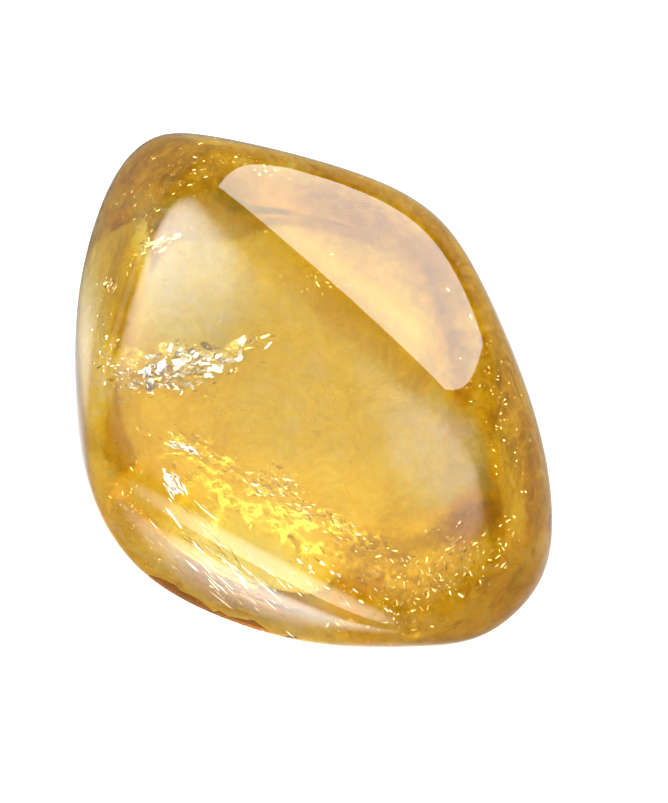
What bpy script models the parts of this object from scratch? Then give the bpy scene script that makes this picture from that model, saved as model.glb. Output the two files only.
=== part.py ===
"""Tumbled citrine: one polished natural stone, lying on its broad worn side.

Tumbling leaves broad, gently domed faces that melt into one another. Each face is the
cap of a large sphere, given by the way it faces and its distance from the stone's middle.
A smooth maximum joins the faces and rounds every edge between them by the same blend.
The long way of the stone is X, with its narrow head at -X and its blunt end at +X.
"""

import bmesh
import bpy
import numpy as np

MM = 0.001

# Driving dimensions, in metres
BASE_DEPTH = 7.2 * MM  # from the stone's middle down to the worn base
FACE_RADIUS = 60.0 * MM  # radius that every face but the base is domed with
EDGE_BLEND = 0.4 * MM
FLAT_WITHIN = 0.02 * MM  # the worn base is flat up to this height
FIRST_RADIUS = 25.0 * MM  # outside the whole stone, where the search for its surface starts

# A face's azimuth from +X and its elevation in degrees, and its distance in millimetres
TOP_FACES = (
    (310, 77, 7.0),  # broad top
    (85, 65, 7.9),  # long shoulder at the back
    (295, 38, 9.7),  # slope at the front
    (0, 35, 12.5),  # slope of the blunt end
    (55, 33, 10.0),  # slope behind the blunt end
    (220, 26, 11.5),  # slope in front of the head
    (180, 40, 12.9),  # slope of the head
)
SIDE_FACES = (
    (75, 6, 9.3),
    (100, 10, 10.2),
    (122, 10, 10.4),
    (150, 12, 14.8),
    (170, 14, 14.8),
    (190, 11, 14.9),
    (210, 10, 13.7),
    (235, 3, 11.3),
    (260, -2, 12.0),
    (280, -5, 13.4),
    (300, -6, 12.6),
    (320, -6, 12.4),
    (340, -6, 14.6),
    (0, -4, 14.9),
    (22, 0, 14.4),
    (45, 4, 13.2),
)
UNDER_FACES = (
    (0, -42, 11.8),
    (35, -39, 11.1),
    (70, -40, 7.9),
    (125, -38, 8.9),
    (170, -39, 11.5),
    (215, -37, 10.7),
    (275, -47, 9.4),
    (305, -47, 9.1),
)

SUBDIVISIONS = 5
NEWTON_STEPS = 40
SMOOTH_UNDER = np.radians(30.0)


def clear_scene():
    for thing in list(bpy.data.objects):
        bpy.data.objects.remove(thing, do_unlink=True)


def facing(azimuth, elevation):
    """Unit vector of a face's outward direction."""
    turn = np.radians(azimuth)
    lift = np.radians(elevation)
    return np.array([np.cos(lift) * np.cos(turn), np.cos(lift) * np.sin(turn), np.sin(lift)])


def height_over_face(points, outward, distance):
    """How far the points stand above one domed face, and which way that height grows."""
    from_centre = points - outward * (distance - FACE_RADIUS)
    reach = np.linalg.norm(from_centre, axis=1)
    return reach - FACE_RADIUS, from_centre / reach[:, None]


def height_over_stone(points):
    """Smooth maximum of the heights above all faces, and its gradient."""
    down = np.array([0.0, 0.0, -1.0])
    heights = [points @ down - BASE_DEPTH]
    slopes = [np.broadcast_to(down, points.shape)]
    for azimuth, elevation, distance in TOP_FACES + SIDE_FACES + UNDER_FACES:
        height, slope = height_over_face(points, facing(azimuth, elevation), distance * MM)
        heights.append(height)
        slopes.append(slope)
    heights = np.stack(heights)
    highest = heights.max(axis=0)
    shares = np.exp((heights - highest) / EDGE_BLEND)
    total = shares.sum(axis=0)
    slope = (shares[..., None] * np.stack(slopes)).sum(axis=0) / total[:, None]
    return highest + EDGE_BLEND * np.log(total), slope


def surface_points(directions):
    """Where lines from the stone's middle leave it, found by Newton's method."""
    radius = np.full(len(directions), FIRST_RADIUS)
    for _ in range(NEWTON_STEPS):
        height, slope = height_over_stone(directions * radius[:, None])
        radius -= height / (slope * directions).sum(axis=1)
    return directions * radius[:, None]


def stand_on_ground(points):
    """Moves the stone so that its base is at z = 0 and its box is centred on the Z axis."""
    low = points.min(axis=0)
    high = points.max(axis=0)
    points = points - np.array([(low[0] + high[0]) / 2, (low[1] + high[1]) / 2, low[2]])
    points[points[:, 2] < FLAT_WITHIN, 2] = 0.0
    return points


def citrine_material():
    material = bpy.data.materials.new("citrine")
    material.use_nodes = True
    shader = material.node_tree.nodes["Principled BSDF"]
    shader.inputs["Base Color"].default_value = (0.86, 0.62, 0.16, 1.0)
    shader.inputs["Roughness"].default_value = 0.03
    shader.inputs["Metallic"].default_value = 0.0
    shader.inputs["IOR"].default_value = 1.544
    shader.inputs["Transmission Weight"].default_value = 1.0
    return material


def citrine_stone():
    ball = bmesh.new()
    bmesh.ops.create_icosphere(ball, subdivisions=SUBDIVISIONS, radius=1.0)
    directions = np.array([vertex.co for vertex in ball.verts])
    directions /= np.linalg.norm(directions, axis=1)[:, None]
    for vertex, point in zip(ball.verts, stand_on_ground(surface_points(directions))):
        vertex.co = point
    mesh = bpy.data.meshes.new("citrine_stone")
    ball.to_mesh(mesh)
    ball.free()
    mesh.shade_smooth()
    mesh.set_sharp_from_angle(angle=SMOOTH_UNDER)
    mesh.materials.append(citrine_material())
    stone = bpy.data.objects.new("citrine_stone", mesh)
    bpy.context.scene.collection.objects.link(stone)
    return stone


clear_scene()
citrine_stone()
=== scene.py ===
"""Tumbled citrine on a bright table: the stone's fine surface, and what is inside it."""

import math
from typing import NamedTuple

import bmesh
import bpy
import numpy as np
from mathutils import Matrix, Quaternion, Vector, noise
from mathutils.bvhtree import BVHTree


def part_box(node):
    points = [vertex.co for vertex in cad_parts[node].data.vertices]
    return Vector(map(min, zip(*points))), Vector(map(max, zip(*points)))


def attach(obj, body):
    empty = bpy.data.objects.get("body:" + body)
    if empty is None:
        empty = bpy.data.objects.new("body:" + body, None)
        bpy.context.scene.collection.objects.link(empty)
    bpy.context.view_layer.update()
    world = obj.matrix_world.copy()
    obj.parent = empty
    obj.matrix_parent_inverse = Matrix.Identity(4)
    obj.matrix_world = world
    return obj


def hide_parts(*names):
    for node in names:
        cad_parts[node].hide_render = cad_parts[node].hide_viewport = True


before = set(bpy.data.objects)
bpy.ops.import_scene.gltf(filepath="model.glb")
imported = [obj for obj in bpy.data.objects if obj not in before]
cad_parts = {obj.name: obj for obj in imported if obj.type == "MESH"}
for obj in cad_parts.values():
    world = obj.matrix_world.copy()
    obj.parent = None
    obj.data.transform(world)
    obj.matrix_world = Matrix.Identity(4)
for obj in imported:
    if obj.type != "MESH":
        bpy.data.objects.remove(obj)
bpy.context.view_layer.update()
MM = 0.001
NOISE_SEED = 5
noise.seed_set(NOISE_SEED)
WHITE = (1.0, 1.0, 1.0, 1.0)

# The photograph's frame and view
PHOTO_SIZE = (668, 803)
VIEW_AZIMUTH = 51.0
VIEW_ELEVATION = 80.0
VIEW_DISTANCE = 0.40
METRES_PER_PIXEL = 0.047 * MM
MIDDLE_PIXEL = (316.0, 391.0)  # where the photograph shows the stone's middle
SENSOR_WIDTH = 36.0

# Quartz
IOR = 1.544
ABSORPTION_COLOUR = (0.93, 0.815, 0.1)
ABSORPTION_DENSITY = 200.0

# The stone's faces, as in the CAD source: azimuth, elevation, distance in millimetres
BASE_DEPTH = 7.2
FACE_RADIUS = 60.0
EDGE_BLEND = 0.4
FACES = (
    (310, 77, 7.0),
    (85, 65, 7.9),
    (295, 38, 9.7),
    (0, 35, 12.5),
    (55, 33, 10.0),
    (220, 26, 11.5),
    (180, 40, 12.9),
    (75, 6, 9.3),
    (100, 10, 10.2),
    (122, 10, 10.4),
    (150, 12, 14.8),
    (170, 14, 14.8),
    (190, 11, 14.9),
    (210, 10, 13.7),
    (235, 3, 11.3),
    (260, -2, 12.0),
    (280, -5, 13.4),
    (300, -6, 12.6),
    (320, -6, 12.4),
    (340, -6, 14.6),
    (0, -4, 14.9),
    (22, 0, 14.4),
    (45, 4, 13.2),
    (0, -42, 11.8),
    (35, -39, 11.1),
    (70, -40, 7.9),
    (125, -38, 8.9),
    (170, -39, 11.5),
    (215, -37, 10.7),
    (275, -47, 9.4),
    (305, -47, 9.1),
)

# Fineness of the meshes
SKIN_SUBDIVISIONS = 7
HAZE_SUBDIVISIONS = 6
OUTSIDE_RADIUS = 25.0  # millimetres, clear of the stone on every side
SOLVER_STEPS = 40

# Least depth of what is inside, in millimetres under the surface
SHEET_MARGIN = 0.12
FLECK_MARGIN = 0.08
HAZE_MARGIN = 0.2
PUSH_ROUNDS = 6


# Form of the stone
def facing(azimuth, elevation):
    turn = math.radians(azimuth)
    lift = math.radians(elevation)
    return np.array([math.cos(lift) * math.cos(turn), math.cos(lift) * math.sin(turn), math.sin(lift)])


def height_over_stone(points):
    """Smooth maximum of the heights above all faces, and its gradient, in millimetres."""
    down = np.array([0.0, 0.0, -1.0])
    heights = [points @ down - BASE_DEPTH]
    slopes = [np.broadcast_to(down, points.shape)]
    for azimuth, elevation, distance in FACES:
        from_centre = points - facing(azimuth, elevation) * (distance - FACE_RADIUS)
        reach = np.linalg.norm(from_centre, axis=1)
        heights.append(reach - FACE_RADIUS)
        slopes.append(from_centre / reach[:, None])
    heights = np.stack(heights)
    highest = heights.max(axis=0)
    shares = np.exp((heights - highest) / EDGE_BLEND)
    total = shares.sum(axis=0)
    slope = (shares[..., None] * np.stack(slopes)).sum(axis=0) / total[:, None]
    return highest + EDGE_BLEND * np.log(total), slope


def surface_points(directions):
    """Where each direction from the middle meets the surface, found by steps down the slope from outside."""
    radius = np.full(len(directions), OUTSIDE_RADIUS)
    for _ in range(SOLVER_STEPS):
        height, slope = height_over_stone(directions * radius[:, None])
        radius -= height / (slope * directions).sum(axis=1)
    return directions * radius[:, None]


def ball_of_directions(subdivisions):
    """Even directions from a middle, and the triangles between them."""
    ball = bmesh.new()
    bmesh.ops.create_icosphere(ball, subdivisions=subdivisions, radius=1.0)
    directions = np.array([vertex.co for vertex in ball.verts])
    faces = [tuple(vertex.index for vertex in face.verts) for face in ball.faces]
    ball.free()
    return directions / np.linalg.norm(directions, axis=1)[:, None], faces


def link_mesh(name, vertices, faces, material):
    mesh = bpy.data.meshes.new(name)
    mesh.from_pydata([tuple(vertex) for vertex in vertices], [], faces)
    mesh.shade_smooth()
    mesh.materials.append(material)
    piece = bpy.data.objects.new(name, mesh)
    bpy.context.scene.collection.objects.link(piece)
    return piece


# Nodes
def new_material(name):
    material = bpy.data.materials.new(name)
    material.use_nodes = True
    tree = material.node_tree
    for node in list(tree.nodes):
        if node.type != "OUTPUT_MATERIAL":
            tree.nodes.remove(node)
    return material, tree, tree.nodes["Material Output"]


def add(tree, kind, inputs=None, **settings):
    node = tree.nodes.new(kind)
    for key, value in settings.items():
        setattr(node, key, value)
    for key, value in (inputs or {}).items():
        if isinstance(value, bpy.types.NodeSocket):
            tree.links.new(value, node.inputs[key])
        else:
            node.inputs[key].default_value = value
    return node


def noise_value(tree, scale, detail, roughness=0.6, distortion=0.0, offset=(0, 0, 0)):
    place = add(tree, "ShaderNodeTexCoord").outputs["Object"]
    mapped = add(tree, "ShaderNodeMapping", {"Vector": place, "Location": offset})
    texture = add(
        tree,
        "ShaderNodeTexNoise",
        {
            "Vector": mapped.outputs[0],
            "Scale": scale,
            "Detail": detail,
            "Roughness": roughness,
            "Distortion": distortion,
        },
    )
    return texture.outputs["Fac"]


def attribute(tree, name):
    return add(tree, "ShaderNodeAttribute", attribute_name=name).outputs["Fac"]


def ramp(tree, value, low, high, bottom=0.0, top=1.0):
    return add(
        tree,
        "ShaderNodeMapRange",
        {"Value": value, "From Min": low, "From Max": high, "To Min": bottom, "To Max": top},
        interpolation_type="SMOOTHSTEP",
    ).outputs[0]


def maths(tree, operation, first, second):
    return add(tree, "ShaderNodeMath", {0: first, 1: second}, operation=operation).outputs[0]


def between_colours(tree, share, first, second):
    return add(tree, "ShaderNodeMix", {"Factor": share, 6: first, 7: second}, data_type="RGBA").outputs[2]


def between_shaders(tree, share, first, second):
    return add(tree, "ShaderNodeMixShader", {0: share, 1: first, 2: second}).outputs[0]


def see_through(tree, colour):
    return add(tree, "ShaderNodeBsdfTransparent", {"Color": colour}).outputs[0]


def dull_mirror(tree, colour, roughness):
    return add(tree, "ShaderNodeBsdfAnisotropic", {"Color": colour, "Roughness": roughness}).outputs[0]


def milky(tree, colour):
    """Throws half of the light back and half of it on, in all directions."""
    front = add(tree, "ShaderNodeBsdfDiffuse", {"Color": colour}).outputs[0]
    through = add(tree, "ShaderNodeBsdfTranslucent", {"Color": colour}).outputs[0]
    return between_shaders(tree, 0.5, front, through)


# The stone
PIT_SCALE = 1400.0
PIT_LEVELS = (0.2, 0.3)
PIT_DEPTH = 0.02 * MM
PIT_STRENGTH = 0.2


def stone_material():
    material, tree, out = new_material("citrine")
    pits = ramp(tree, noise_value(tree, PIT_SCALE, 1.0), *PIT_LEVELS)
    bumps = add(
        tree,
        "ShaderNodeBump",
        {"Height": pits, "Strength": PIT_STRENGTH, "Distance": PIT_DEPTH},
    )
    shader = add(
        tree,
        "ShaderNodeBsdfPrincipled",
        {
            "Base Color": WHITE,
            "Roughness": 0.0,
            "IOR": IOR,
            "Transmission Weight": 1.0,
            "Normal": bumps.outputs[0],
        },
    )
    absorption = add(
        tree,
        "ShaderNodeVolumeAbsorption",
        {"Color": ABSORPTION_COLOUR + (1.0,), "Density": ABSORPTION_DENSITY},
    )
    tree.links.new(shader.outputs[0], out.inputs["Surface"])
    tree.links.new(absorption.outputs[0], out.inputs["Volume"])
    return material


def fine_stone():
    """The stone's surface in a fine mesh, fitted to its solid's box, and the place of its middle."""
    directions, faces = ball_of_directions(SKIN_SUBDIVISIONS)
    points = surface_points(directions)
    low = points.min(axis=0)
    high = points.max(axis=0)
    box_low, box_high = (np.array(corner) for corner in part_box("citrine_stone"))
    scale = (box_high - box_low) / (high - low)
    vertices = box_low + (points - low) * scale
    return link_mesh("citrine_surface", vertices, faces, stone_material()), Vector(box_low - low * scale)


stone, MIDDLE = fine_stone()
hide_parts("citrine_stone")
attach(stone, "root")
SKIN = BVHTree.FromPolygons(
    [vertex.co.copy() for vertex in stone.data.vertices],
    [tuple(face.vertices) for face in stone.data.polygons],
)


# Camera
def view_axes(azimuth, elevation):
    turn = math.radians(azimuth)
    lift = math.radians(elevation)
    back = Vector((math.sin(turn) * math.cos(lift), -math.cos(turn) * math.cos(lift), math.sin(lift)))
    right = Vector((math.cos(turn), math.sin(turn), 0.0))
    return right, back.cross(right), back


RIGHT, UP, BACK = view_axes(VIEW_AZIMUTH, VIEW_ELEVATION)


def from_middle_pixel(x, y):
    """The place straight behind or before a pixel, level with the stone's middle."""
    across = RIGHT * ((x - MIDDLE_PIXEL[0]) * METRES_PER_PIXEL)
    down = UP * ((y - MIDDLE_PIXEL[1]) * METRES_PER_PIXEL)
    return MIDDLE + across - down


def make_camera():
    aim = from_middle_pixel(PHOTO_SIZE[0] / 2, PHOTO_SIZE[1] / 2)
    data = bpy.data.cameras.new("camera")
    made = bpy.data.objects.new("camera", data)
    bpy.context.scene.collection.objects.link(made)
    made.location = aim + BACK * VIEW_DISTANCE
    made.rotation_mode = "QUATERNION"
    made.rotation_quaternion = BACK.to_track_quat("Z", "Y")
    data.sensor_width = SENSOR_WIDTH
    data.lens = SENSOR_WIDTH * VIEW_DISTANCE / (PHOTO_SIZE[1] * METRES_PER_PIXEL)
    data.clip_start = 0.01
    bpy.context.scene.camera = made
    return made


camera = make_camera()

# Places inside the stone, by a pixel of the photograph
ENTRY_TRIES = 200
STEP_TO_MIDDLE = 0.02
SKIN_THICKNESS = 0.001 * MM


def pixel_ray(x, y):
    across = (x - PHOTO_SIZE[0] / 2) * METRES_PER_PIXEL
    down = (y - PHOTO_SIZE[1] / 2) * METRES_PER_PIXEL
    return (RIGHT * across - UP * down - BACK * VIEW_DISTANCE).normalized()


def bend(direction, normal):
    """The way that light takes on into the stone."""
    facing_in = -direction.dot(normal)
    ratio = 1.0 / IOR
    root = math.sqrt(1.0 - ratio * ratio * (1.0 - facing_in * facing_in))
    return (direction * ratio + normal * (ratio * facing_in - root)).normalized()


def sight_line(x, y):
    """
    Where the line of sight at a pixel enters the stone, the surface there, its way on, and how far it goes.
    A pixel beside the stone is moved towards its middle until it meets the stone.
    """
    origin = Vector(camera.location)
    for _ in range(ENTRY_TRIES):
        ray = pixel_ray(x, y)
        entry, normal, _, _ = SKIN.ray_cast(origin, ray)
        if entry is not None:
            inward = bend(ray, normal)
            start = entry + inward * SKIN_THICKNESS
            leave, _, _, length = SKIN.ray_cast(start, inward)
            if leave is not None:
                return start, normal, inward, length
        x += (MIDDLE_PIXEL[0] - x) * STEP_TO_MIDDLE
        y += (MIDDLE_PIXEL[1] - y) * STEP_TO_MIDDLE
    return MIDDLE.copy(), BACK, -BACK, 0.0


def inside(x, y, share):
    """The point seen at a pixel, this share of the way from the front of the stone to its back."""
    start, _, inward, length = sight_line(x, y)
    return start + inward * (share * length)


def keep_inside(points, margin):
    """Pulls points that come nearer to the surface than the margin back along its slope."""
    middle = np.array(MIDDLE)
    local = (points - middle) / MM
    for _ in range(PUSH_ROUNDS):
        height, slope = height_over_stone(local)
        local -= slope * np.maximum(height + margin, 0.0)[:, None]
    return middle + local * MM


# The window's direction from the stone, and cracks that face it
WINDOW_ANGLE = 53.5
WINDOW_SLOPE = 69
LEAST_LIGHT = 0.05
SHALLOWEST = 0.06
DEEPEST = 0.94


def from_stone(angle, slope):
    """Direction from the stone: angle in the photograph's plane, slope away from the camera's line."""
    turn = math.radians(angle)
    lean = math.radians(slope)
    across = RIGHT * math.cos(turn) + UP * math.sin(turn)
    return BACK * math.cos(lean) + across * math.sin(lean)


def towards_window(normal, inward):
    """The way a flat crack faces when it throws the window light back along the line of sight."""
    light = from_stone(WINDOW_ANGLE, WINDOW_SLOPE)
    if light.dot(normal) < LEAST_LIGHT:
        return -inward
    return (-bend(-light, normal) - inward).normalized()


def on_plane(anchor, lines):
    """Lines of pixels as lines of (x, y, depth share), on the plane through the anchor that glints."""
    through = inside(*anchor)
    _, surface, inward, _ = sight_line(*anchor[:2])
    normal = towards_window(surface, inward)
    found = []
    for line in lines:
        row = []
        for x, y in line:
            start, _, inward, length = sight_line(x, y)
            share = (through - start).dot(normal) / inward.dot(normal) / length
            row.append((x, y, min(max(share, SHALLOWEST), DEEPEST)))
        found.append(tuple(row))
    return tuple(found)


def at_depth(share, lines):
    """Lines of pixels as lines of (x, y, depth share), all at one share."""
    return tuple(tuple((x, y, share) for x, y in line) for line in lines)


def inner_piece(name, vertices, faces, material):
    piece = link_mesh(name, vertices, faces, material)
    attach(piece, "root")
    return piece


def set_attribute(piece, name, values):
    piece.data.attributes.new(name, "FLOAT", "POINT").data.foreach_set("value", values)


def smooth(value, low, high):
    share = np.clip((value - low) / (high - low), 0.0, 1.0)
    return share * share * (3.0 - 2.0 * share)


# Haze under the surface
HAZE_DEPTH = 0.9
HAZE_LEAST_DEPTH = 0.25
HAZE_RIPPLE = 0.5
HAZE_GRAIN = 2.5
RIM_HAZE = 0.75
MIDDLE_HAZE = 0.4
UNDER_HAZE = 0.2
UNDER_RIM_HAZE = 0.6
HAZE_TONE = 0.5
SPOT_EDGE = (0.55, 1.25)

# Colours of the haze from dark to pale, with their tones, and the tint of the stone where it is amber
HAZE_COLOURS = (
    (0.0, (0.56, 0.32, 0.01, 1.0)),
    (0.4, (1.0, 0.66, 0.01, 1.0)),
    (0.7, (1.0, 0.85, 0.2, 1.0)),
    (1.0, (1.0, 0.98, 0.9, 1.0)),
)
ZONE_AMBER = (0.97, 0.84, 0.28, 1.0)


class Spot(NamedTuple):
    """A place in the haze, in pixels of the photograph, with its reach, turn, thickness and tone."""

    x: float
    y: float
    reach_x: float
    reach_y: float
    tilt: float
    haze: float
    tone: float


# Some spots paint shade with the darkest tones, and some paint light and a reflection with the palest, as
# marked
HAZE_SPOTS = {
    # painted reflection: pale haze under the pale reflection on the facet at the left
    "left pale reflection": Spot(188, 278, 52, 92, 20, 0.5, 0.95),
    "middle": Spot(330, 380, 120, 100, 0, 0.38, 0.72),
    "right pale window": Spot(440, 450, 55, 60, 0, 0.45, 0.9),
    # painted shade: the dark band at the lower right
    "dark band": Spot(445, 538, 75, 24, 35, 0.5, 0.02),
    "under the window's edge": Spot(330, 300, 130, 22, -42, 0.35, 0.48),
    "behind the window": Spot(380, 255, 110, 40, -40, 0.6, 0.12),
    "behind the window's end": Spot(445, 330, 24, 90, 12, 0.6, 0.12),
    "below the long fracture": Spot(390, 560, 62, 34, -10, 0.75, 0.08),
    "bottom": Spot(385, 620, 90, 26, 0, 0.35, 0.5),
    # painted shade: the dark band at the left
    "left shade band": Spot(125, 290, 18, 80, -8, 0.6, 0.02),
    "head": Spot(180, 165, 80, 40, 20, 0.75, 0.3),
    "left side": Spot(100, 330, 22, 110, 0, 0.6, 0.8),
    # painted light: paler, thinner haze that makes the glow of focused light at the lower left show white
    "glow at the lower left": Spot(245, 580, 110, 50, -32, 0.3, 1.0),
    "bottom rim": Spot(285, 628, 90, 20, -17, 0.5, 0.72),
    "lower left rim": Spot(185, 592, 130, 17, -41, 0.6, 0.7),
    "lower left side": Spot(140, 540, 34, 80, 35, 0.55, 0.7),
    "left rim": Spot(104, 480, 24, 46, 20, 0.6, 0.62),
    "lower right": Spot(450, 590, 100, 50, 20, 0.8, 0.4),
    "right side": Spot(500, 400, 35, 130, 15, 0.8, 0.3),
}
UNDER_SPOTS = {
    # painted light: thin, pale haze under the glow, so that the lit table shows through white
    "under the glow": Spot(262, 545, 90, 60, -25, 0.1, 1.0),
    # painted reflection: thin, pale haze under the pale reflection at the left
    "under the left pale reflection": Spot(205, 290, 70, 90, 20, 0.2, 0.95),
}


def haze_material():
    """Cloud as thick as the attribute haze says. The attribute tone colours it and tints what is clear; in
    some spots its darkest tones paint shade, and its palest paint light and a reflection.
    """
    material, tree, out = new_material("haze")
    haze = attribute(tree, "haze")
    tone = attribute(tree, "tone")
    cloud = noise_value(tree, 420.0, 4.0, roughness=0.65, distortion=0.6)
    thick = maths(tree, "MULTIPLY", haze, ramp(tree, cloud, 0.3, 0.7, 0.7, 1.15))
    coarse = noise_value(tree, 300.0, 3.0, distortion=0.5, offset=(0.5, 0.2, 0.1))
    fine = noise_value(tree, 1100.0, 3.0, distortion=0.8, offset=(0.1, 0.7, 0.3))
    fine_shift = maths(tree, "MULTIPLY", ramp(tree, fine, 0.3, 0.7, -0.22, 0.22), haze)
    shift = maths(tree, "ADD", ramp(tree, coarse, 0.25, 0.75, -0.13, 0.13), fine_shift)
    colours = add(tree, "ShaderNodeValToRGB", {"Fac": maths(tree, "ADD", tone, shift)})
    stops = colours.color_ramp.elements
    while len(stops) < len(HAZE_COLOURS):
        stops.new(0.5)
    for stop, (position, colour) in zip(stops, HAZE_COLOURS):
        stop.position = position
        stop.color = colour
    clear = see_through(tree, between_colours(tree, ramp(tree, tone, 0.3, 0.9), ZONE_AMBER, WHITE))
    mixed = between_shaders(tree, thick, clear, milky(tree, colours.outputs[0]))
    tree.links.new(mixed, out.inputs["Surface"])
    return material


def photo_pixels(points):
    """Where the camera sees these points, in pixels of the photograph."""
    from_camera = points - np.array(camera.location)
    depth = -(from_camera @ np.array(BACK))
    scale = VIEW_DISTANCE / METRES_PER_PIXEL / depth
    across = PHOTO_SIZE[0] / 2 + (from_camera @ np.array(RIGHT)) * scale
    down = PHOTO_SIZE[1] / 2 - (from_camera @ np.array(UP)) * scale
    return across, down


def haze_and_tone(points, slope):
    """How thick the haze is and what tone it has at each point: by its slope, then by the spots."""
    to_camera = slope @ np.array(BACK)
    upper = RIM_HAZE + (MIDDLE_HAZE - RIM_HAZE) * smooth(to_camera, 0.5, 0.95)
    under = UNDER_RIM_HAZE + (UNDER_HAZE - UNDER_RIM_HAZE) * smooth(-to_camera, 0.75, 0.97)
    haze = np.where(to_camera < 0.0, under, upper)
    tone = np.full(len(points), HAZE_TONE)
    across, down = photo_pixels(points)
    front = smooth(to_camera, 0.0, 0.2)
    for spots, side_share in ((HAZE_SPOTS, front), (UNDER_SPOTS, 1.0 - front)):
        for spot in spots.values():
            turn = math.radians(spot.tilt)
            along = (across - spot.x) * math.cos(turn) - (down - spot.y) * math.sin(turn)
            side = (across - spot.x) * math.sin(turn) + (down - spot.y) * math.cos(turn)
            away = np.sqrt((along / spot.reach_x) ** 2 + (side / spot.reach_y) ** 2)
            share = side_share * (1.0 - smooth(away, *SPOT_EDGE))
            haze += (spot.haze - haze) * share
            tone += (spot.tone - tone) * share
    return haze, tone


def haze_core():
    """The cloudy inner body under the clear skin."""
    directions, faces = ball_of_directions(HAZE_SUBDIVISIONS)
    skin = surface_points(directions)
    _, slope = height_over_stone(skin)
    slope /= np.linalg.norm(slope, axis=1)[:, None]
    lifts = np.array([noise.fractal(Vector(point / HAZE_GRAIN), 0.8, 2.2, 4) for point in skin])
    local = skin - slope * np.maximum(HAZE_DEPTH + HAZE_RIPPLE * lifts, HAZE_LEAST_DEPTH)[:, None]
    points = keep_inside(np.array(MIDDLE) + local * MM, HAZE_MARGIN)
    haze, tone = haze_and_tone(points, slope)
    piece = inner_piece("haze_core", points, faces, haze_material())
    set_attribute(piece, "haze", haze)
    set_attribute(piece, "tone", tone)


haze_core()


# Veils, bands of painted shade and fractures, each a thin sheet
def cloud_material(name, colour, tint, amounts, scale, levels):
    """A milky layer: it scatters a little light and tints what passes."""
    material, tree, out = new_material(name)
    fade = attribute(tree, "fade")
    cloud = noise_value(tree, scale, 3.0, distortion=0.4)
    patches = maths(tree, "MULTIPLY", ramp(tree, cloud, *levels, *amounts), fade)
    deep = maths(tree, "MULTIPLY", ramp(tree, cloud, *levels, 1.0, 0.5), fade)
    clear = see_through(tree, between_colours(tree, deep, WHITE, tint))
    mixed = between_shaders(tree, patches, clear, milky(tree, colour))
    tree.links.new(mixed, out.inputs["Surface"])
    return material


def fracture_material(name, amounts, scale, levels, roughness):
    """An open crack: thin air that mirrors at a slant, in patches, and lets light through elsewhere."""
    material, tree, out = new_material(name)
    slant = add(tree, "ShaderNodeFresnel", {"IOR": 1.0 / IOR}).outputs[0]
    patches = ramp(tree, noise_value(tree, scale, 3.0, roughness=0.7), *levels)
    patches = maths(tree, "MULTIPLY", patches, attribute(tree, "fade"))
    least, most = amounts
    strength = add(tree, "ShaderNodeMapRange", {"Value": slant, "To Min": least, "To Max": most}).outputs[0]
    share = maths(tree, "MULTIPLY", patches, strength)
    mixed = between_shaders(tree, share, see_through(tree, WHITE), dull_mirror(tree, WHITE, roughness))
    tree.links.new(mixed, out.inputs["Surface"])
    return material


SILVER = fracture_material("silver_fracture", (0.3, 0.6), 500.0, (0.4, 0.55), 0.15)
FOIL = fracture_material("foil_fracture", (0.6, 1.0), 700.0, (0.4, 0.5), 0.2)
MILK = cloud_material(
    "milk", (1.0, 0.9, 0.55, 1.0), (0.9, 0.9, 0.88, 1.0), (0.05, 0.4), 160.0, (0.3, 0.75)
)
# A pale veil; at the left it stands in for the pale reflection on the facet, a painted reflection
PALE_VEIL_AND_REFLECTION = cloud_material(
    "pale_veil_and_reflection", (0.95, 0.95, 0.88, 1.0), (0.97, 0.97, 0.97, 1.0), (0.25, 0.75), 260.0, (0.2, 0.7)
)
# Painted shade: a dark, brownish sheet that darkens what lies behind it, put in bands where the stone only
# looks dark
PAINTED_SHADE = cloud_material(
    "painted_shade_sheet", (0.5, 0.36, 0.12, 1.0), (0.72, 0.67, 0.52, 1.0), (0.0, 0.2), 400.0, (0.3, 0.7)
)

# Noise over a sheet: where each seed samples it, and what it moves and cuts
RIPPLE_SHIFT = (7.3, 3.1, 5.7)
SLIDE_SCALE = 0.7
SLIDE_SHARE = 0.3
EDGE_GRAIN = 0.8
EDGE_BASE = 0.6
HOLE_LEVEL = 1.0

# Each sheet's lines, as pixels of the photograph with the share of the way from the stone's front to its back
MILKY_LAYER_LOW = (
    ((270, 240, 0.6), (310, 250, 0.6), (350, 300, 0.6)),
    ((150, 390, 0.6), (290, 370, 0.65), (430, 370, 0.6)),
    ((170, 470, 0.6), (310, 490, 0.6), (470, 480, 0.6)),
)
MILKY_LAYER_HIGH = (
    ((240, 250, 0.35), (290, 255, 0.3), (340, 290, 0.35)),
    ((180, 400, 0.35), (300, 370, 0.3), (430, 380, 0.35)),
    ((230, 460, 0.35), (320, 490, 0.3), (440, 490, 0.4)),
)
# Painted reflection: a pale sheet just under the front, where the stone shows a pale reflection on its facet;
# the room's lights light it
PALE_REFLECTION_LEFT = at_depth(
    0.16,
    (
        ((185, 203), (220, 203), (265, 225)),
        ((150, 285), (195, 290), (262, 290)),
        ((134, 362), (175, 372), (225, 355)),
    ),
)
PALE_WINDOW_RIGHT = at_depth(
    0.3,
    (
        ((380, 395), (440, 385), (495, 420)),
        ((375, 465), (440, 465), (492, 468)),
        ((374, 530), (420, 526), (466, 492)),
    ),
)
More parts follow.
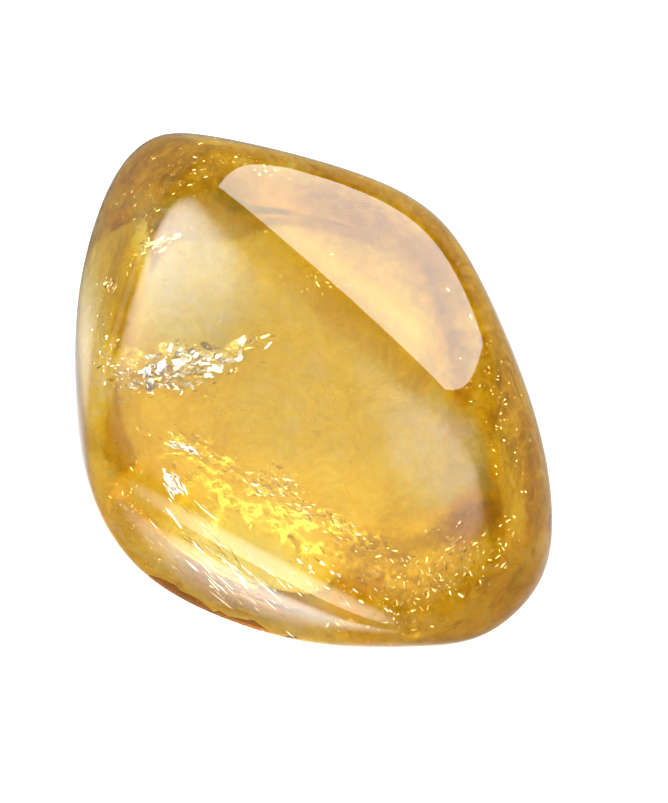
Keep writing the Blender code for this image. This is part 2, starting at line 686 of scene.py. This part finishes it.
# Bands of painted shade at the right, at the top and at the left
SHADE_BAND_RIGHT = (
    ((502, 462, 0.35), (478, 492, 0.4), (425, 528, 0.45), (375, 538, 0.45)),
    ((514, 490, 0.4), (486, 520, 0.45), (430, 556, 0.5), (370, 560, 0.5)),
)
SHADE_BAND_TOP = at_depth(
    0.4,
    (
        ((232, 165), (290, 225), (350, 275), (405, 318), (466, 395)),
        ((215, 205), (255, 268), (315, 328), (375, 380), (425, 430)),
    ),
)
SHADE_BAND_LEFT = at_depth(
    0.3,
    (
        ((180, 196), (150, 245), (134, 300), (122, 356)),
        ((145, 200), (112, 255), (100, 305), (96, 356)),
    ),
)
LONG_FRACTURE = (
    ((150, 420, 0.2), (210, 438, 0.25), (268, 486, 0.3), (330, 508, 0.3), (400, 543, 0.3), (468, 560, 0.25)),
    ((145, 450, 0.5), (200, 470, 0.5), (262, 512, 0.55), (325, 535, 0.55), (392, 565, 0.55), (460, 590, 0.5)),
    (
        (150, 490, 0.85),
        (205, 520, 0.85),
        (265, 560, 0.85),
        (325, 580, 0.85),
        (390, 600, 0.85),
        (450, 615, 0.8),
    ),
)
LEFT_FRACTURE = on_plane(
    (175, 365, 0.12),
    (
        ((108, 345), (160, 338), (205, 350), (252, 330)),
        ((112, 388), (165, 392), (205, 386), (246, 352)),
    ),
)


def spline(points, share):
    """Smooth curve through the points, at a share of its length from 0 to 1."""
    last = len(points) - 1
    place = min(max(share, 0.0), 1.0) * last
    index = min(int(place), last - 1)
    part = place - index
    before = points[max(index - 1, 0)]
    start = points[index]
    end = points[index + 1]
    after = points[min(index + 2, last)]
    return 0.5 * (
        2.0 * start
        + (end - before) * part
        + (2.0 * before - 5.0 * start + 4.0 * end - after) * part**2
        + (3.0 * start - before - 3.0 * end + after) * part**3
    )


def smooth_grid(lines, rows, columns):
    """Rows of points on the smooth sheet through the lines."""
    places = [[inside(*point) for point in line] for line in lines]
    grid = []
    for row in range(rows + 1):
        points = []
        for column in range(columns + 1):
            crossing = [spline(line, column / columns) for line in places]
            points.append(spline(crossing, row / rows))
        grid.append(points)
    return grid


def rippled(grid, ripple, grain, seed):
    """The grid's points in one list, moved by noise up to about ripple millimetres."""
    last_row = len(grid) - 1
    last_column = len(grid[0]) - 1
    shift = Vector([seed * part for part in RIPPLE_SHIFT])
    moved = []
    for row, points in enumerate(grid):
        for column, here in enumerate(points):
            right = points[min(column + 1, last_column)] - points[max(column - 1, 0)]
            down = grid[min(row + 1, last_row)][column] - grid[max(row - 1, 0)][column]
            normal = right.cross(down).normalized()
            spot = here / (grain * MM) + shift
            lift = noise.fractal(spot, 0.8, 2.2, 5)
            slide = noise.noise_vector(spot * SLIDE_SCALE) * SLIDE_SHARE
            moved.append(here + (normal * lift + slide) * (ripple * MM))
    return keep_inside(np.array(moved), SHEET_MARGIN)


def ragged_faces(points, rows, columns, ragged, seed):
    """The sheet's squares, without those that noise takes from its edge."""
    wide = columns + 1
    shift = Vector((seed, 0, seed * 2))
    faces = []
    for row in range(rows):
        for column in range(columns):
            u = (column + 0.5) / columns
            v = (row + 0.5) / rows
            from_edge = min(u, 1 - u, v, 1 - v) * 2.0
            corner = row * wide + column
            rough = noise.fractal(Vector(points[corner]) / (EDGE_GRAIN * MM) + shift, 0.7, 2.1, 4)
            if from_edge < ragged * (EDGE_BASE + rough) or rough > HOLE_LEVEL:
                continue
            faces.append((corner, corner + 1, corner + wide + 1, corner + wide))
    return faces


def edge_fades(rows, columns, soft):
    """From 0 at the sheet's edges to 1 where it is whole, by the shares of its sides that fade."""
    fades = []
    for row in range(rows + 1):
        for column in range(columns + 1):
            u = column / columns
            v = row / rows
            from_edge = min(min(u, 1 - u) / soft[0], min(v, 1 - v) / soft[1], 1.0)
            fades.append(from_edge * from_edge * (3.0 - 2.0 * from_edge))
    return fades


def sheet(
    name, lines, material, seed, ripple, grain=1.5, ragged=0.25, soft=(0.15, 0.25), rows=60, columns=90
):
    """A rippled sheet with a ragged edge, through lines of (pixel x, pixel y, depth share)."""
    points = rippled(smooth_grid(lines, rows, columns), ripple, grain, seed)
    faces = ragged_faces(points, rows, columns, ragged, seed)
    fades = edge_fades(rows, columns, soft)
    used = sorted({index for face in faces for index in face})
    number = {index: place for place, index in enumerate(used)}
    faces = [tuple(number[index] for index in face) for face in faces]
    piece = inner_piece(name, [points[index] for index in used], faces, material)
    set_attribute(piece, "fade", [fades[index] for index in used])


sheet("milky_layer_low", MILKY_LAYER_LOW, MILK, 1, 0.5, grain=4.0)
sheet("milky_layer_high", MILKY_LAYER_HIGH, MILK, 2, 0.5, grain=3.0)
# The sheet at the left is a painted reflection
sheet("pale_reflection_left", PALE_REFLECTION_LEFT, PALE_VEIL_AND_REFLECTION, 3, 0.1, ragged=0.04, soft=(0.12, 0.15))
sheet("pale_window_right", PALE_WINDOW_RIGHT, PALE_VEIL_AND_REFLECTION, 4, 0.1, ragged=0.04, soft=(0.2, 0.15))
# Three sheets of painted shade
sheet("painted_shade_right", SHADE_BAND_RIGHT, PAINTED_SHADE, 5, 0.15, ragged=0.1, soft=(0.15, 0.4), rows=24)
sheet("painted_shade_top", SHADE_BAND_TOP, PAINTED_SHADE, 6, 0.15, ragged=0.1, soft=(0.15, 0.4), rows=24)
sheet("painted_shade_left", SHADE_BAND_LEFT, PAINTED_SHADE, 7, 0.15, ragged=0.1, soft=(0.15, 0.35), rows=24)
sheet("long_fracture", LONG_FRACTURE, SILVER, 9, 0.3, grain=0.9, soft=(0.05, 0.05), rows=80, columns=160)
sheet("left_fracture", LEFT_FRACTURE, FOIL, 10, 0.025, grain=0.35, soft=(0.05, 0.1), rows=60, columns=150)


# Flecks
class Cluster(NamedTuple):
    """
    Flecks around a pixel of the photograph. Their reach is in pixels and turned by the tilt. Near and far
    are depths, small and large are lengths, all in millimetres. Slim is width over length, heading is the
    way that the long side points, or None for any, and glint is the share that faces the window.
    """

    x: float
    y: float
    reach_x: float
    reach_y: float
    tilt: float
    near: float
    far: float
    count: int
    small: float
    large: float
    slim: float
    heading: float | None
    glint: float


BRIGHT_CLUSTERS = {
    "left fracture": Cluster(172, 370, 50, 20, 14, 0.15, 0.7, 280, 0.06, 0.6, 0.6, 15, 0.55),
    "left fracture's tail": Cluster(205, 360, 50, 14, 16, 0.15, 0.7, 70, 0.08, 0.6, 0.45, 18, 0.6),
    "left fracture's start": Cluster(125, 376, 22, 16, 8, 0.15, 0.7, 60, 0.05, 0.25, 0.5, -20, 0.5),
    "short bar": Cluster(180, 447, 14, 3, -15, 0.15, 0.3, 40, 0.15, 0.5, 0.3, -15, 1.0),
    "spark under the bar": Cluster(172, 484, 8, 12, 40, 0.15, 0.4, 60, 0.15, 0.5, 0.4, -55, 0.9),
    "long fracture's knot": Cluster(278, 482, 20, 10, -20, 0.15, 0.8, 60, 0.04, 0.25, 0.4, -20, 0.5),
    "long fracture": Cluster(300, 505, 120, 7, -27, 0.15, 0.6, 90, 0.05, 0.3, 0.3, -25, 0.6),
    "left side": Cluster(106, 340, 12, 80, 5, 0.15, 0.8, 110, 0.03, 0.15, 0.6, None, 0.35),
    "streaks at the lower left": Cluster(225, 568, 78, 30, -45, 0.2, 0.9, 170, 0.15, 1.2, 0.09, -47, 0.5),
    "bottom": Cluster(330, 580, 55, 40, -20, 0.15, 0.8, 120, 0.05, 0.35, 0.3, -45, 0.4),
    "dust": Cluster(300, 400, 140, 130, 0, 0.2, 6.0, 90, 0.02, 0.08, 0.5, None, 0.3),
}
GOLDEN_CLUSTERS = {
    "left fracture": Cluster(178, 372, 60, 24, 10, 0.15, 0.8, 120, 0.05, 0.35, 0.4, 15, 0.3),
    "long fracture's start": Cluster(195, 446, 50, 12, -22, 0.15, 0.8, 110, 0.04, 0.2, 0.4, -25, 0.35),
    "left fracture's tail": Cluster(240, 345, 40, 8, 20, 0.15, 0.7, 60, 0.04, 0.3, 0.3, 20, 0.5),
    "long fracture's knot": Cluster(278, 484, 26, 14, -20, 0.15, 0.8, 90, 0.04, 0.3, 0.4, -20, 0.5),
    "long fracture": Cluster(300, 508, 120, 12, -27, 0.15, 0.8, 420, 0.04, 0.28, 0.35, -25, 0.55),
    "left shade band": Cluster(140, 250, 12, 50, -10, 0.15, 0.8, 110, 0.03, 0.2, 0.5, None, 0.5),
    "glint on the left shade band": Cluster(163, 242, 24, 5, 25, 0.15, 0.5, 60, 0.1, 0.45, 0.35, 25, 0.95),
    "glint at the left side": Cluster(112, 285, 8, 6, 0, 0.15, 0.5, 30, 0.08, 0.3, 0.5, 40, 0.9),
    "lower left side": Cluster(140, 520, 30, 70, 30, 0.15, 0.8, 200, 0.03, 0.15, 0.5, None, 0.35),
    "lower right": Cluster(430, 585, 90, 40, 20, 0.15, 0.8, 480, 0.04, 0.24, 0.35, None, 0.55),
    "right side": Cluster(495, 400, 26, 120, 15, 0.15, 0.8, 240, 0.03, 0.14, 0.5, None, 0.5),
    "dark band": Cluster(465, 545, 40, 12, 30, 0.15, 0.8, 70, 0.04, 0.3, 0.3, 40, 0.4),
    "head": Cluster(170, 180, 70, 30, 35, 0.15, 0.8, 260, 0.03, 0.2, 0.35, 15, 0.55),
    "top rim": Cluster(250, 165, 50, 8, -15, 0.15, 0.8, 80, 0.03, 0.15, 0.4, -15, 0.4),
    "under the window's edge": Cluster(320, 270, 55, 35, -30, 0.15, 1.2, 90, 0.04, 0.25, 0.15, None, 0.5),
}
BRIGHT_SEED = 17
GOLDEN_SEED = 23

# How far the flecks of a cluster lie apart, and how much they and their edges vary
CLUSTER_SPREAD = 0.5
CLUSTER_LIMIT = 1.3
DEEPEST_FLECK = 0.9
GLINT_SPREAD = 0.08
LOOSE_SPREAD = 0.35
HEADING_SPREAD = 50.0
SMALL_ONES = 1.6
FLECK_BOW = 0.03
FLECK_SIDES = (6, 11)
CORNER_SHIFT = 0.3
LEAST_CORNER = 0.35


def fleck_material(name, colour, roughness, share=0.85):
    material, tree, out = new_material(name)
    patches = ramp(tree, noise_value(tree, 1200.0, 0.0), 0.3, 0.6, share * 0.4, share)
    clear = see_through(tree, (1.0, 0.97, 0.9, 1.0))
    mixed = between_shaders(tree, patches, clear, dull_mirror(tree, colour, roughness))
    tree.links.new(mixed, out.inputs["Surface"])
    return material


def fleck_place(random, cluster):
    """A fleck's middle, the stone's surface over it, and the line of sight through it."""
    turn = math.radians(cluster.tilt)
    places = np.clip(random.normal(0.0, CLUSTER_SPREAD, 2), -CLUSTER_LIMIT, CLUSTER_LIMIT)
    across, down = places * (cluster.reach_x, cluster.reach_y)
    pixel_x = cluster.x + across * math.cos(turn) + down * math.sin(turn)
    pixel_y = cluster.y - across * math.sin(turn) + down * math.cos(turn)
    start, surface, inward, path = sight_line(pixel_x, pixel_y)
    depth = min(random.uniform(cluster.near, cluster.far) * MM, DEEPEST_FLECK * path)
    return start + inward * depth, surface, inward


def fleck_axes(random, cluster, surface, inward):
    """A fleck's normal, and the ways of its length and its width."""
    spread = GLINT_SPREAD if random.uniform() < cluster.glint else LOOSE_SPREAD
    normal = towards_window(surface, inward) + Vector(random.normal(0.0, spread, 3))
    normal.normalize()
    if cluster.heading is None:
        way = random.uniform(0, math.tau)
    else:
        way = math.radians(cluster.heading + random.normal(0.0, HEADING_SPREAD * cluster.slim))
    side = RIGHT * math.cos(way) + UP * math.sin(way)
    side = (side - normal * side.dot(normal)).normalized()
    return normal, side, normal.cross(side)


def fleck(random, cluster):
    """A fleck's middle, then its corners."""
    middle, surface, inward = fleck_place(random, cluster)
    normal, side, other = fleck_axes(random, cluster, surface, inward)
    growth = random.uniform(0.0, 1.0) ** SMALL_ONES
    length = MM * cluster.small * (cluster.large / cluster.small) ** growth
    width = length * random.uniform(0.5, 1.0) * cluster.slim
    sides = int(random.integers(*FLECK_SIDES))
    points = [middle + normal * (random.normal(0.0, FLECK_BOW) * width)]
    for step in range(sides):
        angle = math.tau * (step + random.uniform(-CORNER_SHIFT, CORNER_SHIFT)) / sides
        reach = random.uniform(LEAST_CORNER, 1.0)
        along = side * (math.cos(angle) * length * reach)
        points.append(middle + (along + other * (math.sin(angle) * width * reach)))
    return points


def flecks(name, clusters, material, seed):
    """Small flat broken mirrors, each a fan of triangles."""
    random = np.random.default_rng(seed)
    vertices = []
    faces = []
    for cluster in clusters.values():
        for _ in range(cluster.count):
            base = len(vertices)
            points = fleck(random, cluster)
            sides = len(points) - 1
            vertices.extend(tuple(point) for point in points)
            for step in range(sides):
                faces.append((base, base + 1 + step, base + 1 + (step + 1) % sides))
    inner_piece(name, keep_inside(np.array(vertices), FLECK_MARGIN), faces, material)


flecks("bright_flecks", BRIGHT_CLUSTERS, fleck_material("fracture_fleck", WHITE, 0.15), BRIGHT_SEED)
flecks(
    "golden_flecks",
    GOLDEN_CLUSTERS,
    fleck_material("golden_fleck", (1.0, 0.8, 0.35, 1.0), 0.2),
    GOLDEN_SEED,
)

# Table: what the camera sees of it, and what it throws into the stone
TABLE_SIZE = 3.0
TABLE_DROP = 0.02 * MM
TABLE_COLOUR = (0.03, 0.03, 0.03, 1.0)
TABLE_ROUGHNESS = (0.55, 0.65)
FLOOR_GLOW = 1.2
SPOT_GLOW = 1.32
SPOT_REACH = (0.008, 0.016)
SPILL_GLOW = 0.18


class Pool(NamedTuple):
    """A patch of light on the table, at a pixel of the photograph, with its reach in metres."""

    x: float
    y: float
    reach: float
    strength: float


LIT_POOLS = {
    "under the glow": Pool(255, 600, 0.0055, 7.0),
    "lower left rim": Pool(140, 555, 0.007, 5.5),
    "bottom rim": Pool(320, 640, 0.007, 6.0),
    "lower right rim": Pool(430, 610, 0.006, 2.5),
    "before the stone": Pool(330, 720, 0.008, 1.2),
    "right of the stone": Pool(650, 560, 0.012, 0.7),
    "far before the stone": Pool(-140, 1480, 0.025, 8.5),
    "left of the stone": Pool(-70, 300, 0.006, 1.2),
}


def away_from(tree, place):
    here = add(tree, "ShaderNodeTexCoord").outputs["Object"]
    return add(tree, "ShaderNodeVectorMath", {0: here, 1: place}, operation="DISTANCE").outputs["Value"]


def table_material():
    """White to the camera. What it throws into the stone comes from the lit spot under it and the pools."""
    material, tree, out = new_material("bright_table")
    grain = noise_value(tree, 60.0, 3.0)
    spill = ramp(tree, away_from(tree, (0.0, 0.0, 0.0)), *SPOT_REACH, SPOT_GLOW, SPILL_GLOW)
    for pool in LIT_POOLS.values():
        place = from_middle_pixel(pool.x, pool.y)
        place.z = 0.0
        lit = ramp(tree, away_from(tree, tuple(place)), 0.0, pool.reach, pool.strength, 0.0)
        spill = maths(tree, "ADD", spill, lit)
    seen = add(tree, "ShaderNodeLightPath").outputs["Is Camera Ray"]
    glow = maths(tree, "MAXIMUM", spill, maths(tree, "MULTIPLY", seen, FLOOR_GLOW))
    shader = add(
        tree,
        "ShaderNodeBsdfPrincipled",
        {
            "Base Color": TABLE_COLOUR,
            "Roughness": ramp(tree, grain, 0.2, 0.8, *TABLE_ROUGHNESS),
            "Emission Color": WHITE,
            "Emission Strength": glow,
        },
    )
    tree.links.new(shader.outputs[0], out.inputs["Surface"])
    material.cycles.emission_sampling = "NONE"
    return material


def make_floor():
    bpy.ops.mesh.primitive_plane_add(size=TABLE_SIZE, location=(0.0, 0.0, -TABLE_DROP))
    floor = bpy.context.object
    floor.name = "table"
    floor.data.materials.append(table_material())


# Room: soft lights all round, and the window that the stone mirrors
SKY_COLOUR = (1.0, 0.97, 0.93, 1.0)
ROOM_LIGHT = 0.1


class SoftLight(NamedTuple):
    """A soft light, by its direction from the stone and its half width in degrees."""

    angle: float
    slope: float
    width: float
    strength: float


SOFT_LIGHTS = {
    "overhead": SoftLight(0, 0, 55, 1.1),
    "upper left": SoftLight(141, 35, 28, 8.3),
    "right": SoftLight(-20, 20, 19, 2.8),
    "lower left": SoftLight(-135, 30, 30, 0.5),
    "low, below the stone": SoftLight(245, 74, 18, 5.6),
    "lowest, below the stone": SoftLight(275, 80, 30, 0.6),
    "low at the left": SoftLight(165, 76, 16, 1.2),
    "lowest, above the stone": SoftLight(90, 80, 25, 0.3),
}
WINDOW_ROLL = -5
WINDOW_DISTANCE = 0.25
WINDOW_SIDE = 0.175
WINDOW_POWER = 0.7
WINDOW_COLOUR = (0.92, 0.985, 1.0)


def make_world():
    world = bpy.data.worlds.new("studio")
    world.use_nodes = True
    world.cycles.sampling_method = "NONE"
    bpy.context.scene.world = world
    tree = world.node_tree
    place = add(tree, "ShaderNodeTexCoord").outputs["Generated"]
    total = ROOM_LIGHT
    for light in SOFT_LIGHTS.values():
        towards = add(
            tree,
            "ShaderNodeVectorMath",
            {0: place, 1: tuple(from_stone(light.angle, light.slope))},
            operation="DOT_PRODUCT",
        ).outputs["Value"]
        lobe = ramp(tree, towards, math.cos(math.radians(light.width)), 1.0, 0.0, light.strength)
        total = maths(tree, "ADD", total, lobe)
    background = tree.nodes["Background"]
    background.inputs["Color"].default_value = SKY_COLOUR
    tree.links.new(total, background.inputs["Strength"])


def make_window():
    light = bpy.data.lights.new("window_light", "AREA")
    light.shape = "RECTANGLE"
    light.size = WINDOW_SIDE
    light.size_y = WINDOW_SIDE
    light.energy = WINDOW_POWER
    light.color = WINDOW_COLOUR
    lamp = bpy.data.objects.new("window_light", light)
    bpy.context.scene.collection.objects.link(lamp)
    direction = from_stone(WINDOW_ANGLE, WINDOW_SLOPE)
    roll = Quaternion((0.0, 0.0, 1.0), math.radians(WINDOW_ROLL))
    lamp.location = MIDDLE + direction * WINDOW_DISTANCE
    lamp.rotation_mode = "QUATERNION"
    lamp.rotation_quaternion = direction.to_track_quat("Z", "Y") @ roll


make_floor()
make_world()
make_window()

view = bpy.context.scene.view_settings
view.view_transform = "Standard"
view.look = "None"
cycles = bpy.context.scene.cycles
cycles.max_bounces = 8
cycles.transmission_bounces = 7
cycles.glossy_bounces = 3
cycles.diffuse_bounces = 1
cycles.transparent_max_bounces = 24
